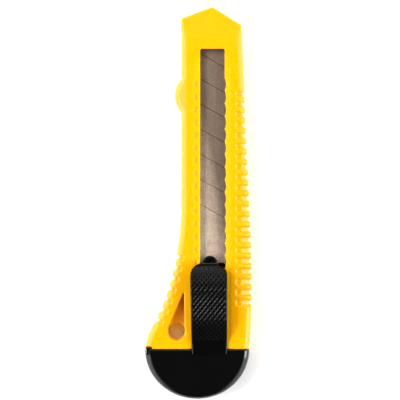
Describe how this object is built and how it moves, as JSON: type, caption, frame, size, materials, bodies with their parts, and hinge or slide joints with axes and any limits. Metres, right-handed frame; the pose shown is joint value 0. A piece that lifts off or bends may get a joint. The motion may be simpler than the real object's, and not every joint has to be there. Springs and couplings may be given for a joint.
{
  "type": "utility knife",
  "caption": "Snap-off utility knife with a flat moulded handle, a window slot over a scored blade, a knurled thumb slider and a round pull-off end cap.",
  "frame": {"origin": "on the blade's centreline where the end cap meets the handle, on the flat back face", "axes": "+Y along the blade towards its tip, +Z out of the front face with the thumb slider, +X to the right with the tip up and the front face towards the viewer"},
  "size_m": [0.0425, 0.1562, 0.0161],
  "materials": {
    "yellow_plastic": "moulded yellow plastic, slightly translucent, satin gloss",
    "black_gloss_plastic": "polished black plastic",
    "black_plastic": "satin black plastic with a moulded knurl",
    "blade_steel": "ground carbon steel with pressed score lines and an oily grey film"
  },
  "bodies": {
    "handle": {"handle_body": "yellow_plastic"},
    "slider": {"thumb_pad": "black_plastic", "blade_carrier": "black_plastic", "detent_spring": "black_plastic", "blade_segment_1": "blade_steel", "blade_segment_2": "blade_steel", "blade_segment_3": "blade_steel", "blade_segment_4": "blade_steel", "blade_segment_5": "blade_steel", "blade_segment_6": "blade_steel", "blade_segment_7": "blade_steel", "blade_segment_8": "blade_steel"},
    "cap": {"end_cap": "black_gloss_plastic"}
  },
  "joints": [
    {"name": "slider_travel", "type": "slide", "parent": "handle", "child": "slider", "axis": [0, 1, 0], "range_m": [0, 0.0707], "deforming": ["detent_spring"]},
    {"name": "cap_pull", "type": "slide", "parent": "handle", "child": "cap", "axis": [0, -1, 0], "range_m": [0, 0.03]}
  ]
}
